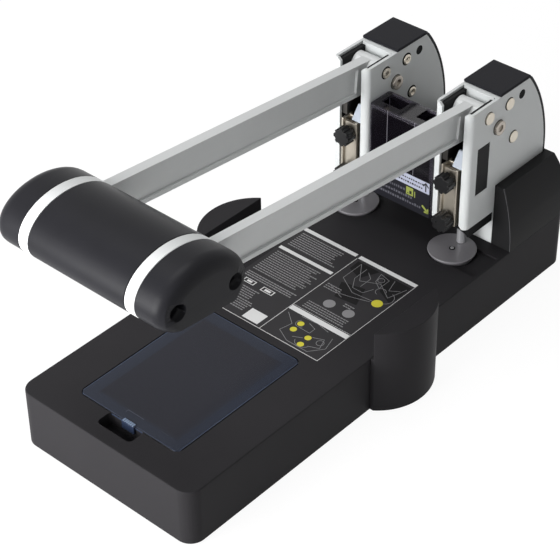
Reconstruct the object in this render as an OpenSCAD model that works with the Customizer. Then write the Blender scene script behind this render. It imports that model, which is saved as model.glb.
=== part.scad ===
// Heavy-duty two-hole paper punch: a long storage base, two pressed-steel heads and one
// two-arm lever. Millimetres, +Z up. The model is drawn round the line through the two
// holes (y = 0, paper goes in from the front, -Y) and then moved so that the origin lies
// under the middle of its outline, on the surface that it stands on.

/* [Base] */
// Width of the base across its sides
base_w = 138; // [130:1:170]
// Distance from the hole line to the front of the base
base_front = 280; // [270:1:310]
// Distance from the round back of the heads to the rear of the base
rear_margin = 12.4; // [12:0.2:26]
// Height of the base without its feet
base_h = 39.5; // [36:0.5:50]
// Wall thickness of the base
base_wall = 3; // [2:0.5:4]
// Corner radius of the base, seen from above
base_corner_r = 10; // [8:1:20]
// Chamfer along the top edge of the base
base_edge = 1; // [0.5:0.5:2]
// Thickness of the bottom plate
floor_t = 2; // [1:0.5:3]
// Height of the rubber feet
foot_h = 1.5; // [1:0.5:4]
// Radius of the rubber feet
foot_r = 9; // [5:1:12]

/* [Storage tray] */
// Width of the tray's lid
lid_w = 79.5; // [60:0.5:90]
// Length of the tray's lid
lid_len = 105; // [80:1:110]
// Distance from the front of the base to the lid
lid_margin = 21; // [18:1:26]
// Thickness of the lid
lid_t = 2; // [1.5:0.5:3]
// Corner radius of the lid
lid_corner_r = 5; // [2:0.5:8]
// Gap round the lid
lid_gap = 0.4; // [0.3:0.1:0.8]
// Depth of the tray below the lid
tray_depth = 24; // [10:1:30]
// Width of the ledge that the lid lies on
tray_ledge = 4; // [3:0.5:8]
// Width of the finger recess in front of the lid
recess_w = 27; // [18:1:40]
// Length of the finger recess
recess_len = 11; // [7:1:12]
// Depth of the finger recess
recess_depth = 9; // [6:1:14]
// Width of the lid's latch
latch_w = 10; // [6:0.2:16]
// Distance from the middle of the lid to the latch, to the right
latch_x = 1.3; // [-4:0.1:4]
// Radius of the lid's hinge pins
lid_pin_r = 0.7; // [0.5:0.1:0.8]

/* [Front panel] */
// Width of the thin plate between the lid and the heads
panel_w = 93; // [60:1:110]
// Length of the plate
panel_len = 96; // [60:1:98]
// Thickness of the plate
panel_t = 0.8; // [0.4:0.1:1.5]
// Distance from the lid to the plate
panel_margin = 6; // [4:1:8]

/* [Side wings] */
// Length of a wing along the base
wing_len = 58.6; // [40:0.2:70]
// How far a wing stands out of the side of the base
wing_out = 17.3; // [10:0.1:25]
// Radius of a wing's round outer face
wing_r = 36.5; // [34:0.5:60]
// Height of a wing above the top of the base
wing_rise = 20; // [10:1:25]
// Step between the base's side and a wing's upper inner face
wing_step = 2; // [1:0.5:4]
// Distance from the hole line to the middle of a wing
wing_back = 96; // [80:1:120]

/* [Rear housing] */
// Height of the housing above the base
housing_h = 45; // [40:1:50]
// Distance from the hole line to the housing's front face, where the paper stops
stop_y = 13; // [12.5:0.5:15]
// Inward lean of the housing's sides over their height
side_lean = 8; // [6:0.5:9]
// Inward lean of the housing's back over its height
rear_lean = 9; // [5:0.5:9]
// Wall thickness of the housing
housing_wall = 2.5; // [2:0.5:3]

/* [Heads] */
// Distance between the two holes
hole_pitch = 80; // [70:1:100]
// Width of a head
head_w = 28; // [26:1:32]
// Thickness of a head's steel plates
plate_t = 2; // [1.5:0.5:2.5]
// Width of the plates' folded front edges
flange_w = 5.5; // [4:0.5:5.5]
// Outer radius of the fold along those edges
fold_r = 3.5; // [1:0.5:4]
// Distance from the hole line to the front of a head
head_front = 16; // [15:0.5:20]
// Height of a head above the base
head_h = 109.5; // [109:0.5:115]
// Gap between the base and a head's plates
throat_h = 25; // [24:0.5:28]
// Height of the guide block under a head
guide_h = 6.6; // [6:0.2:10]
// Radius of the round back of a head
back_r = 97.6; // [90:0.1:110]
// Height of the back's centre above the base
back_rise = 48.5; // [46:0.5:55]
// Distance from the hole line forward to the back's centre
back_fore = 34; // [30:1:40]
// Thickness of the black back cover and top cap
cover_t = 2; // [1:0.5:3]
// Distance from the hole line to the front of the top cap
cap_y = 12.4; // [12:0.2:16]
// Overhang of the top cap past the plates
cap_over = 0.4; // [0:0.1:1]
// Thickness of the folded webs that join two plates
web_t = 1.1; // [0.8:0.1:1.2]
// Distance from the hole line to the heads' socket bolts
bolt_y = 12; // [11.5:0.5:14]
// Height of the heads' socket bolts above the base
bolt_rise = 88.5; // [86:0.5:90]
// Radius of the socket bolts
bolt_r = 4; // [3:0.1:4.2]
// Radius of the socket bolts' heads
bolt_head_r = 4.8; // [4.7:0.1:5.5]
// Radius of the rivet heads
rivet_r = 4; // [3.5:0.1:4.5]
// Radius of the rivets' flared tails
rivet_tail_r = 3.4; // [2.8:0.1:4]
// Radius of the open hole near a head's top
spare_hole_r = 2.5; // [1.5:0.1:3]

/* [Lever] */
// Distance from the hole line to the lever's pivot
pivot_y = 1.6; // [1:0.1:2]
// Height of the pivot above the base
pivot_rise = 99.9; // [99.5:0.1:101]
// Radius of the pivot pins
pivot_r = 3; // [2.5:0.1:3.2]
// Slope of the arms when the lever is down, in degrees
lever_tilt = 5.7; // [3:0.1:8]
// How far the lever swings up, in degrees
lever_open = 60; // [50:1:62]
// Width of an arm
arm_w = 7; // [6:0.2:8]
// Height of an arm
arm_h = 22.5; // [18:0.5:23]
// Distance from the pivot down to an arm's underside
arm_drop = 16.4; // [14:0.1:17]
// Thickness of an arm's edges
arm_edge = 3; // [2:0.5:4]
// Depth of the hollow in each side of an arm
arm_hollow = 1.6; // [1:0.1:2]
// Radius of the hub
hub_r = 7; // [6.5:0.1:7.2]
// Distance from the pivot to the pin that drives a ram
crank_r = 13; // [12:0.1:13.5]
// Radius of the drive pin
crank_pin_r = 2; // [1.5:0.1:2.2]

/* [Grip] */
// Distance from the pivot to the middle of the grip
grip_reach = 256.2; // [230:0.1:280]
// Length of the grip
grip_len = 130; // [115:1:170]
// Depth of the grip from front to back
grip_d = 66; // [60:1:75]
// Height of the grip's crown above its widest line
grip_crown = 22; // [18:1:28]
// Height of the grip's widest line above its flat underside
grip_low = 13; // [11:1:18]
// Distance from the pivot down to the grip's widest line, across the arms
grip_drop = 4.9; // [3:0.1:7]
// Rounding of the grip's end edges
grip_end_r = 9; // [6:0.5:12]
// Length of the bevel between that rounding and the flat end
grip_bevel = 2.6; // [1:0.2:4]
// Wall thickness of the grip's shells
grip_wall = 2.5; // [2:0.5:4]
// Height of the joint between the grip's two shells above its underside
grip_split = 6; // [5:0.5:9]
// Radius of the tie rods through the grip
tie_r = 3; // [2:0.1:3.5]
// Distance between the two tie rods
tie_pitch = 42; // [36:0.5:44]
// Distance from the pivot down to the tie rods, across the arms
tie_drop = 3.7; // [2:0.1:6]
// Radius of the screw holes in the grip's ends
grip_hole_r = 5.1; // [3.8:0.1:5.3]
// Share of the end caps' rounding that their underside has
cap_under = 0.25; // [0:0.05:1]

/* [Rams] */
// Outer radius of a hollow punch rod
rod_r = 3; // [2.5:0.05:3.2]
// Bore radius of a hollow punch rod
rod_bore_r = 2.2; // [1.5:0.1:2.4]
// Height of a ram's block
ram_h = 35.5; // [30:0.5:36]
// Width of a ram's block
ram_w = 12; // [10:0.5:13]
// Distance from the hole line to the back of a ram's block
ram_back = 4.5; // [4:0.1:5]
// Gap between a ram and what guides it
guide_gap = 0.3; // [0.2:0.05:0.5]
// Height of a rod holder
holder_h = 42; // [40:0.5:44]
// Width of a rod holder
holder_w = 12.4; // [11:0.2:13]
// How far a rod holder stands in front of a head
holder_fore = 1; // [0.5:0.5:2]
// Depth of a rod holder from front to back
holder_d = 8; // [7:0.5:9]
// Wall thickness of a rod holder
holder_t = 1.5; // [1:0.1:2]
// Thickness of a clamp plate
clamp_t = 2; // [1.5:0.5:3]
// Radius of a clamp knob
knob_r = 6.2; // [5:0.1:7]
// Length of a clamp knob
knob_h = 7.2; // [5:0.1:8]
// Distance between a ram's two knobs
knob_pitch = 29; // [26:0.5:31]
// Height of the lower knob above the holder's lower end
knob_low = 4; // [3.5:0.5:6]

/* [Rod boards] */
// Radius of a rod board
board_r = 15.7; // [14:0.1:18]
// Thickness of a rod board
board_t = 6; // [4:0.5:8]
// How far a rod board stands above the base
board_proud = 2; // [1:0.5:3]
// Distance from the hole line forward to a board's centre
board_fore = 9.3; // [8:0.1:10.5]
// Radius of a board's pin
board_pin_r = 2; // [1.5:0.1:3]
// Thickness of a rod board's rim, over the part that tapers
board_rim = 1.1; // [0.5:0.1:2]
// How much smaller a rod board's underside is, in radius
board_taper = 2.4; // [0:0.1:3]
// Depth of the shallow bed beside each board
bed_depth = 1.5; // [0.5:0.5:1.5]

/* [Chip box] */
// Depth of the chip box from front to back
box_d = 20; // [14:1:22]
// Height of the chip box
box_h = 65; // [40:1:70]
// Distance from the hole line to the front of the box
box_front = 15; // [12:0.5:15.5]
// Radius of the chip box's upright corners
box_corner_r = 2; // [2:0.5:6]
// Wall thickness of the chip box
box_wall = 1.5; // [1:0.1:2]
// Width of each chip opening in the box's cover
box_port = 15; // [8:1:18]
// Height of the shelf under the box above the base
shelf_rise = 18.4; // [16:0.2:19]
// Thickness of the shelf
shelf_t = 2; // [1:0.5:3]

/* [Hidden] */
$fn = 64;
eps = 0.01;
fit = 0.05;
seat = 0.3;

base_top = foot_h + base_h;
floor_top = foot_h + floor_t;
half_w = base_w / 2;
base_rear = back_r - back_fore + rear_margin;
half_pitch = hole_pitch / 2;
half_head = head_w / 2;
inner_half = half_head - plate_t;
channel_half = half_head - flange_w;
liner_half = channel_half + 0.5;
hub_half = liner_half - guide_gap;

lid_front_y = lid_margin - base_front;
lid_rear_y = lid_front_y + lid_len;
lid_axis_inset = 1.2;
lid_axis_y = lid_rear_y - lid_axis_inset;
lid_axis_z = base_top - lid_t / 2;
lid_rear_gap = lid_gap + 0.2;
lid_sweep = norm([lid_axis_inset, lid_t / 2]) + 0.2;

plate_z = base_top + throat_h;
guide_z = plate_z - guide_h;
head_top = base_top + head_h;
back_z = base_top + back_rise;
back_y = back_r - back_fore;
housing_top = base_top + housing_h;
wing_top = base_top + wing_rise;

bolt_z = base_top + bolt_rise;

pivot_z = base_top + pivot_rise;
crank_angle = lever_open / 2;
crank_pin_y = pivot_y - crank_r * cos(crank_angle);
crank_pin_z = pivot_z - crank_r * sin(crank_angle);
stroke = 2 * crank_r * sin(crank_angle);

board_top = base_top + board_proud;
rod_foot_z = board_top + seat;
ram_z = plate_z + 0.5;
ram_top = ram_z + ram_h;
holder_y = -head_front - holder_fore;
block_y = holder_y + holder_d;
knob_zs = [ram_z + knob_low, ram_z + knob_low + knob_pitch];

grip_half = grip_len / 2;
arm_in = half_pitch - arm_w / 2;
arm_out = half_pitch + arm_w / 2;
ring_gap = 0.3;

// The outline's foremost point lies on the grip's lower front corner, or on the base.
grip_front_y = pivot_y - (grip_reach + grip_d / 2 - grip_low) * cos(lever_tilt)
    - grip_drop * sin(lever_tilt) - grip_low;
hole_y = -(min(grip_front_y, -base_front) + base_rear) / 2;

// ---- helpers --------------------------------------------------------------------------

// Moves what is drawn round the hole line to its place round the origin.
module placed() { translate([0, hole_y, 0]) children(); }

// Moves a child to the left head (side = -1) or to the right head (side = 1).
module at_head(side) { translate([side * half_pitch, 0, 0]) children(); }

// Extrudes an outline drawn in (y, z) along X, from x0 over the length w.
module slab(x0, w) { translate([x0, 0, 0]) rotate([90, 0, 90]) linear_extrude(w) children(); }

// Extrudes an outline drawn in (x, z) along Y, from y0 over the length d.
module drawn_back(y0, d) {
    translate([0, y0 + d, 0]) rotate([90, 0, 0]) linear_extrude(d) children();
}

// A cylinder along X, from x0 over the length w, at (y, z).
module x_rod(x0, w, y, z, r) { translate([x0, y, z]) rotate([0, 90, 0]) cylinder(h = w, r = r); }

// A cylinder along Y, from y0 over the length d, at (x, z).
module y_rod(x, y0, z, r, d) { translate([x, y0, z]) rotate([-90, 0, 0]) cylinder(h = d, r = r); }

// A rectangle with round corners, between two opposite corner points.
module round_rect(x0, y0, x1, y1, r) {
    translate([x0 + r, y0]) square([x1 - x0 - 2 * r, y1 - y0]);
    translate([x0, y0 + r]) square([x1 - x0, y1 - y0 - 2 * r]);
    for (x = [x0 + r, x1 - r], y = [y0 + r, y1 - r]) translate([x, y]) circle(r);
}

// The base's outline seen from above, drawn in by the length i.
module base_outline(i) {
    round_rect(-half_w + i, -base_front + i, half_w - i, base_rear - i, base_corner_r - i);
}

// ---- base -----------------------------------------------------------------------------

module base_block() {
    translate([0, 0, foot_h]) linear_extrude(base_h - base_edge) base_outline(0);
    hull($fn = 32) {
        translate([0, 0, base_top - base_edge]) linear_extrude(eps) base_outline(0);
        translate([0, 0, base_top - base_edge * 0.3]) linear_extrude(eps) base_outline(base_edge * 0.3);
        translate([0, 0, base_top - eps]) linear_extrude(eps) base_outline(base_edge);
    }
    // The edge stays square under the rear housing
    intersection() {
        translate([0, 0, foot_h]) linear_extrude(base_h) base_outline(0);
        translate([-base_w, stop_y, foot_h]) cube([2 * base_w, base_rear, base_h]);
    }
}

tray_wall = 2;
tray_floor_z = base_top - lid_t - tray_depth;

module tray_block() {
    half = lid_w / 2 - tray_ledge + tray_wall;
    translate([-half, lid_front_y + tray_ledge - tray_wall, tray_floor_z - tray_wall])
        cube([2 * half, lid_len - tray_ledge + lid_rear_gap + 2 * tray_wall,
            base_top - base_wall - tray_floor_z + tray_wall + eps]);
}

module tray_hollow() {
    half = lid_w / 2;
    translate([0, 0, base_top - lid_t - 0.2]) linear_extrude(lid_t + 1)
        round_rect(-half - lid_gap, lid_front_y - lid_gap, half + lid_gap, lid_rear_y + lid_rear_gap,
            lid_corner_r + lid_gap);
    translate([0, 0, tray_floor_z]) linear_extrude(tray_depth + 1)
        round_rect(-half + tray_ledge, lid_front_y + tray_ledge, half - tray_ledge,
            lid_rear_y + lid_rear_gap, lid_corner_r);
    // Room for the lid's rear edge, which dips as the lid opens
    translate([-half + tray_ledge - tray_wall, lid_axis_y - 0.5, lid_axis_z - lid_sweep])
        cube([lid_w - 2 * (tray_ledge - tray_wall), lid_axis_inset + lid_rear_gap + 0.5,
            lid_sweep - lid_t / 2 - 0.1]);
    for (side = [-1, 1]) hinge_pin(side, fit);
}

module recess_cup(i) {
    translate([0, 0, base_top - recess_depth - i]) linear_extrude(recess_depth + i + (i > 0 ? -base_edge : 1))
        round_rect(-recess_w / 2 - i, lid_front_y - lid_gap - recess_len - i,
            recess_w / 2 + i, lid_front_y + (i > 0 ? tray_ledge : 0.6), 3 + i);
}

module board_seats(r, z0, h) {
    for (side = [-1, 1]) at_head(side) translate([0, -board_fore, z0]) cylinder(h = h, r = r);
}

bed_front = board_fore + 13.2;
bed_back = 2.5;
bed_lip = 1.8;

// A shallow bed runs from under each board to a thin lip at the base's side.
module board_bed(side) mirror([side > 0 ? 0 : 1, 0, 0])
    translate([half_pitch, -bed_front, base_top - bed_depth])
        cube([half_w - half_pitch - bed_lip, bed_front + bed_back, bed_depth + 1]);

foot_inset = base_corner_r + 3;
foot_places = [for (x = [-1, 1], y = [-base_front + foot_inset, base_rear - foot_inset])
    [x * (half_w - foot_inset), y]];
screw_boss_r = 4;
screw_r = 1.5;
screw_len = 10;

module base_housing() placed() color("#2b2b2d") {
    seat_floor = base_top + board_proud - board_t - fit;
    difference() {
        union() {
            difference() {
                base_block();
                translate([0, 0, foot_h - 1]) linear_extrude(base_h - base_wall + 1) base_outline(base_wall);
            }
            tray_block();
            recess_cup(2);
            board_seats(board_r + 2.5, seat_floor - 2, base_top - seat_floor + 2 - base_edge);
            for (p = foot_places) translate([p[0], p[1], floor_top])
                cylinder(h = base_top - base_wall - floor_top + eps, r = screw_boss_r);
        }
        tray_hollow();
        recess_cup(0);
        board_seats(board_r + seat, seat_floor, board_t);
        board_seats(board_pin_r, seat_floor - 3, 4);
        for (side = [-1, 1]) board_bed(side);
        panel_block(fit);
        for (p = foot_places) translate([p[0], p[1], foot_h]) cylinder(h = floor_t + screw_len, r = screw_r);
        frame_screw_places() cylinder(h = frame_screw_hole, r = frame_screw_r, center = true);
    }
}

module bottom_plate() placed() color("#1f1f20") difference() {
    translate([0, 0, foot_h]) linear_extrude(floor_t) base_outline(base_wall);
    for (p = foot_places) translate([p[0], p[1], foot_h - 1]) cylinder(h = floor_t + 2, r = screw_r);
}

module rubber_feet() placed() color("#141414") for (p = foot_places)
    translate([p[0], p[1], 0]) difference() {
        cylinder(h = foot_h, r = foot_r);
        translate([0, 0, -1]) cylinder(h = foot_h + 2, r = screw_boss_r - 0.5);
    }

module base_screws() placed() color("#8d9094") for (p = foot_places)
    translate([p[0], p[1], 0]) {
        translate([0, 0, foot_h]) cylinder(h = floor_t + screw_len - 1, r = screw_r);
        translate([0, 0, foot_h - 0.8]) cylinder(h = 0.8, r = 2.8);
    }

// The plate lies in its own shallow bed, between the lid and the heads.
module panel_block(i) {
    y0 = lid_rear_y + panel_margin;
    translate([-panel_w / 2 - i, y0 - i, base_top - panel_t])
        cube([panel_w + 2 * i, panel_len + 2 * i, panel_t + (i > 0 ? 1 : 0)]);
}

module info_plate() placed() color("#38383a") panel_block(0);

// ---- storage lid ----------------------------------------------------------------------

hinge_pin_len = 3;

module hinge_pin(side, i) {
    x = side > 0 ? lid_w / 2 - 1 : -lid_w / 2 + 1 - hinge_pin_len;
    x_rod(x, hinge_pin_len, lid_axis_y, lid_axis_z, lid_pin_r + i);
}

module storage_lid() placed() color("#2c3140", 0.85) difference() {
    translate([0, 0, base_top - lid_t]) linear_extrude(lid_t)
        round_rect(-lid_w / 2, lid_front_y, lid_w / 2, lid_rear_y, lid_corner_r);
    for (side = [-1, 1]) hinge_pin(side, 0);
    latch_block(latch_back, lid_t + 1, 1);
}

latch_fore = 1.1;
latch_back = 1.8;
latch_rise = 0.3;
latch_drop = 5.5;

// A block on the lid's front edge, of the given reach over the lid, drop and rise.
module latch_block(back, drop, rise)
    translate([latch_x - latch_w / 2, lid_front_y - latch_fore, base_top - drop])
        cube([latch_w, latch_fore + back, drop + rise]);

// The latch lies in a notch of the lid, and its tongue hangs down in the recess.
module lid_latch() placed() color("#8fa6bf") {
    latch_block(latch_back, lid_t, latch_rise);
    latch_block(0.3, latch_drop, latch_rise);
}

module lid_hinge_pins() placed() color("#9a9ca0") for (side = [-1, 1]) hinge_pin(side, 0);

// ---- side wings -----------------------------------------------------------------------

module wing(side) {
    center_x = half_w + wing_out - wing_r;
    mirror([side > 0 ? 0 : 1, 0, 0]) difference() {
        translate([center_x, -wing_back, foot_h]) cylinder(h = wing_top - foot_h, r = wing_r, $fn = 96);
        translate([center_x - wing_r - 1, -wing_back - wing_r, 0])
            cube([half_w - center_x + wing_r + 1, 2 * wing_r, wing_top + 1]);
        translate([center_x - wing_r, -wing_back - wing_r, base_top])
            cube([half_w + wing_step - center_x + wing_r, 2 * wing_r, wing_rise + 1]);
        for (y = [-wing_r, wing_len / 2])
            translate([center_x, -wing_back + y, 0]) cube([wing_r + 1, wing_r - wing_len / 2, wing_top + 1]);
    }
}

module left_wing() placed() color("#2a2a2c") wing(-1);
module right_wing() placed() color("#2a2a2c") wing(1);

// ---- rear housing ---------------------------------------------------------------------

function bow_r(lean) = (housing_h * housing_h + lean * lean) / (2 * lean);

module lean_outline(outer, lean, i) {
    r = bow_r(lean);
    intersection() {
        translate([outer - r, base_top]) circle(r - i, $fn = 200);
        translate([outer - 2 * r, base_top - 1]) square([2 * r, housing_h + 1 - i]);
    }
}

module housing_form(i) {
    bottom = i > 0 ? base_top - 1 : base_top;
    intersection() {
        drawn_back(stop_y + i, base_rear - stop_y - i) intersection() {
            lean_outline(half_w, side_lean, i);
            mirror([1, 0]) lean_outline(half_w, side_lean, i);
        }
        slab(-half_w, base_w) lean_outline(base_rear, rear_lean, i);
        translate([0, 0, bottom]) linear_extrude(housing_h + 1) base_outline(i);
    }
}

module rear_housing() placed() color("#262627") difference() {
    housing_form(0);
    housing_form(housing_wall);
    for (side = [-1, 1]) at_head(side)
        translate([-half_head - 0.1, stop_y - 1, base_top - 1])
            cube([head_w + 0.2, back_y + cover_t + 0.1 - stop_y + 1, housing_h + 2]);
}

// ---- heads ----------------------------------------------------------------------------

module plate_outline(r, front, i) {
    intersection() {
        translate([-back_fore, back_z]) circle(r, $fn = 200);
        translate([front, back_z - eps]) square([r, head_top - back_z + eps - i]);
    }
    translate([front, plate_z]) square([r - back_fore - front, back_z - plate_z]);
    translate([stop_y, base_top]) square([r - back_fore - stop_y, back_z - base_top]);
}

// The top web starts with a lip that is folded down behind the hub.
lip_gap = 0.5;
lip_y = pivot_y + hub_r + lip_gap;
lip_h = 7.5;
lip_notch = 0.8;

module head_box() {
    difference() {
        slab(-half_head, head_w) plate_outline(back_r, -head_front, 0);
        slab(-inner_half, 2 * inner_half) difference() {
            plate_outline(back_r - web_t, -head_front - 1, web_t);
            translate([stop_y - eps, base_top - 1]) square([web_t, throat_h + 1]);
            translate([stop_y, base_top - 1]) square([back_y, plate_t + 1]);
            translate([lip_y, head_top - lip_h]) square([web_t, lip_h]);
        }
        slab(-inner_half, 2 * inner_half) translate([-head_front - 1, head_top - 2 * web_t])
            square([lip_y + head_front + 1, 3 * web_t]);
        for (s = [-1, 1])
            translate([s > 0 ? inner_half - lip_notch : -inner_half, lip_y - 1, head_top - lip_h - 1])
                cube([lip_notch, web_t + 1, lip_h + 2]);
    }
    for (s = [-1, 1]) translate([s > 0 ? channel_half : -inner_half, -head_front, 0])
        front_fold(s);
}

module head_shell() difference() {
    head_box();
    for (s = [0, 1]) mirror([s, 0, 0]) fold_round();
}

// What a fold's outer radius leaves of the square edge at the right front of a head.
module fold_round() translate([half_head - fold_r, fold_r - head_front, 0]) linear_extrude(2 * head_top)
    difference() {
        translate([0, -fold_r - 1]) square(fold_r + 1);
        circle(fold_r);
    }

// A folded front edge, its inner corners cut at the top and bottom.
module front_fold(s) {
    w = inner_half - channel_half;
    cut = 2;
    drawn_back(0, plate_t) translate([s > 0 ? w : 0, 0]) mirror([s > 0 ? 1 : 0, 0])
        polygon([[0, plate_z], [w - cut, plate_z], [w, plate_z + cut],
            [w, head_top - cut], [w - cut, head_top], [0, head_top]]);
}

// The rivets' places, given from the socket bolt in y and z.
rivet_places = [[10.2, 12], [16.6, -14.8]];
rivet_shank_r = 2;
rivet_head_h = 1.2;
rivet_bore_r = 1.5;
spare_hole = [23, 12.6];
window_fore = 8;
window_aft = 4.5;
window_low = 22.5;
window_high = 56.8;

// The opening in the outer plate, and what fills it, smaller by i all round.
module window_block(x0, w, i) translate([x0, -window_fore + i, plate_z + window_low + i])
    cube([w, window_fore + window_aft - 2 * i, window_high - window_low - 2 * i]);

module head_holes() {
    x_rod(-half_head - 1, head_w + 2, pivot_y, pivot_z, pivot_r);
    x_rod(-half_head - 1, head_w + 2, bolt_y, bolt_z, bolt_r + fit);
    for (p = rivet_places)
        x_rod(-half_head - 1, head_w + 2, bolt_y + p[0], bolt_z + p[1], rivet_shank_r);
    x_rod(-half_head - 1, head_w + 2, bolt_y + spare_hole[0], bolt_z + spare_hole[1], spare_hole_r);
}

module head_frame() difference() {
    head_shell();
    head_holes();
    window_block(inner_half - 1, plate_t + 2, 0);
    translate([0, 0, base_top]) head_screw_places()
        cylinder(h = frame_screw_hole, r = frame_screw_r, center = true);
}

module left_head_frame() placed() color("#c9cccc") at_head(-1) head_frame();
module right_head_frame() placed() color("#c9cccc") at_head(1) head_frame();

liner_front = -head_front + plate_t;
liner_rear = 33;

// Two plastic plates. The raised pad of one fills the window in the steel.
module head_liner() difference() {
    union() {
        for (s = [-1, 1]) translate([s > 0 ? liner_half : -inner_half, liner_front, plate_z])
            cube([inner_half - liner_half, liner_rear - liner_front, head_top - plate_z - web_t - 0.5]);
        window_block(inner_half - eps, plate_t - 0.2, fit);
    }
    // A slot for the web's lip
    translate([-inner_half - 1, lip_y - fit, head_top - lip_h - fit])
        cube([head_w, web_t + 2 * fit, lip_h + 1]);
    head_holes();
}

module left_head_liner() placed() color("#2b2b2c") at_head(-1) head_liner();
module right_head_liner() placed() color("#2b2b2c") at_head(1) head_liner();

function arc_y(r, z) = sqrt(r * r - (z - back_z) * (z - back_z)) - back_fore;

module top_cap() {
    y1 = arc_y(back_r + cover_t, head_top + cover_t);
    translate([-half_head - cap_over, cap_y, head_top])
        cube([head_w + 2 * cap_over, y1 - cap_y, cover_t]);
}

module left_top_cap() placed() color("#2a2a2c") at_head(-1) top_cap();
module right_top_cap() placed() color("#2a2a2c") at_head(1) top_cap();

module back_cover() slab(-half_head, head_w) {
    difference() {
        translate([-back_fore, back_z]) circle(back_r + cover_t, $fn = 200);
        translate([-back_fore, back_z]) circle(back_r, $fn = 200);
        translate([-3 * back_r, -3 * back_r + back_z]) square([6 * back_r, 3 * back_r]);
        translate([-3 * back_r, back_z - 1]) square([3 * back_r, 2 * back_r]);
        translate([-back_r, head_top]) square([3 * back_r, back_r]);
    }
    translate([back_y, housing_top]) square([cover_t, back_z - housing_top]);
}

module left_back_cover() placed() color("#1d1d1e") at_head(-1) back_cover();
module right_back_cover() placed() color("#1d1d1e") at_head(1) back_cover();

guide_front = 12;
guide_middle = 9;
guide_back = 12;

// The guide's front face is hollowed in front of the rod.
module rod_guide() translate([0, 0, guide_z]) linear_extrude(guide_h) difference() {
    polygon([[-half_head, -guide_front], [-rod_r - 1, -guide_middle], [rod_r + 1, -guide_middle],
        [half_head, -guide_front], [half_head, guide_back], [-half_head, guide_back]]);
    circle(rod_r + fit);
}

module left_rod_guide() placed() color("#1b1b1c") at_head(-1) rod_guide();
module right_rod_guide() placed() color("#1b1b1c") at_head(1) rod_guide();

bolt_head_h = 2.2;
hex_r = 2.4;

module head_bolt() difference() {
    union() {
        x_rod(-half_head - bolt_head_h, head_w + bolt_head_h, bolt_y, bolt_z, bolt_r);
        x_rod(half_head, bolt_head_h, bolt_y, bolt_z, bolt_head_r);
    }
    translate([half_head + 0.6, bolt_y, bolt_z]) rotate([0, 90, 0])
        cylinder(h = bolt_head_h, r = hex_r, $fn = 6);
}

module head_nut() difference() {
    translate([-half_head - bolt_head_h, bolt_y, bolt_z]) rotate([0, 90, 0])
        cylinder(h = bolt_head_h, r = bolt_r + 2.2, $fn = 6);
    x_rod(-half_head - 2 * bolt_head_h, 3 * bolt_head_h, bolt_y, bolt_z, bolt_r);
}

module bolt_spacer() difference() {
    x_rod(-liner_half, 2 * liner_half, bolt_y, bolt_z, bolt_r + 1.5);
    x_rod(-liner_half - 1, 2 * liner_half + 2, bolt_y, bolt_z, bolt_r + fit);
}

module head_bolts() placed() color("#b9b4ab") for (side = [-1, 1]) at_head(side) head_bolt();
module head_nuts() placed() color("#a9a9a8") for (side = [-1, 1]) at_head(side) head_nut();
module bolt_spacers() placed() color("#8f9092") for (side = [-1, 1]) at_head(side) bolt_spacer();

// A rivet's end on the plate at s, centred at (y, z): a flat head on the punch's outer sides,
// and a hollow tail on its inner ones.
module rivet_end(s, y, z, tail) mirror([s > 0 ? 0 : 1, 0, 0]) difference() {
    x_rod(half_head, rivet_head_h, y, z, tail ? rivet_tail_r : rivet_r);
    if (tail) x_rod(half_head - 1, rivet_head_h + 2, y, z, rivet_bore_r);
}

module rivet(s, tail) for (p = rivet_places) {
    x_rod(s > 0 ? liner_half : -half_head, half_head - liner_half,
        bolt_y + p[0], bolt_z + p[1], rivet_shank_r);
    rivet_end(s, bolt_y + p[0], bolt_z + p[1], tail);
}

module head_rivets() placed() color("#cfc9bb") for (side = [-1, 1], s = [-1, 1])
    at_head(side) rivet(s, s != side);

frame_screw_r = 1.8;
frame_screw_front = 22;
frame_screw_rear = 46;
frame_screw_inset = 5;
frame_screw_head_h = 1.6;
frame_screw_hole = 20;

module head_screw_places() for (s = [-1, 1], y = [frame_screw_front, frame_screw_rear])
    translate([s * (inner_half - frame_screw_inset), y, 0]) children();

module frame_screw_places() for (side = [-1, 1]) at_head(side)
    translate([0, 0, base_top]) head_screw_places() children();

module frame_screws() placed() color("#8d9094") frame_screw_places() {
    translate([0, 0, -base_wall]) cylinder(h = base_wall + plate_t, r = frame_screw_r);
    translate([0, 0, -base_wall - frame_screw_head_h])
        cylinder(h = frame_screw_head_h, r = 2 * frame_screw_r);
}

// ---- rod boards -----------------------------------------------------------------------

module rod_board(side) at_head(side) translate([0, -board_fore, board_top - board_t]) difference() {
    union() {
        translate([0, 0, board_t - board_rim]) cylinder(h = board_rim, r = board_r, $fn = 96);
        cylinder(h = board_t - board_rim, r1 = board_r - board_taper, r2 = board_r - board_rim / 2,
            $fn = 96);
    }
    translate([0, 0, -1]) cylinder(h = board_t + 2, r = board_pin_r + fit);
}

module left_rod_board() placed() color("#808084") rod_board(-1);
module right_rod_board() placed() color("#808084") rod_board(1);

module board_pins() placed() color("#6f7072")
    board_seats(board_pin_r, board_top - board_t - fit - 2, board_t + 1.5);

// ---- chip box -------------------------------------------------------------------------

box_half = half_pitch - half_head - 0.5;
shelf_z = base_top + shelf_rise;
box_z = shelf_z + shelf_t + seat;
box_back = box_front - box_d;

module chip_shelf() placed() color("#1c1c1d")
    translate([-half_pitch + half_head, -box_front + 3, shelf_z])
        cube([hole_pitch - head_w, stop_y + box_front - 3, shelf_t]);

// The box's outline seen from above, drawn in by the length i.
module box_outline(i) {
    round_rect(-box_half + i, -box_front + i, box_half - i, -box_back - i, box_corner_r - i);
}

module chip_box() placed() color("#28242e", 0.6) difference() {
    translate([0, 0, box_z]) linear_extrude(box_h - box_wall) box_outline(0);
    translate([0, 0, box_z + box_wall]) linear_extrude(box_h) box_outline(box_wall);
}

port_inset = [4.2, 7, 1.5];

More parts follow.
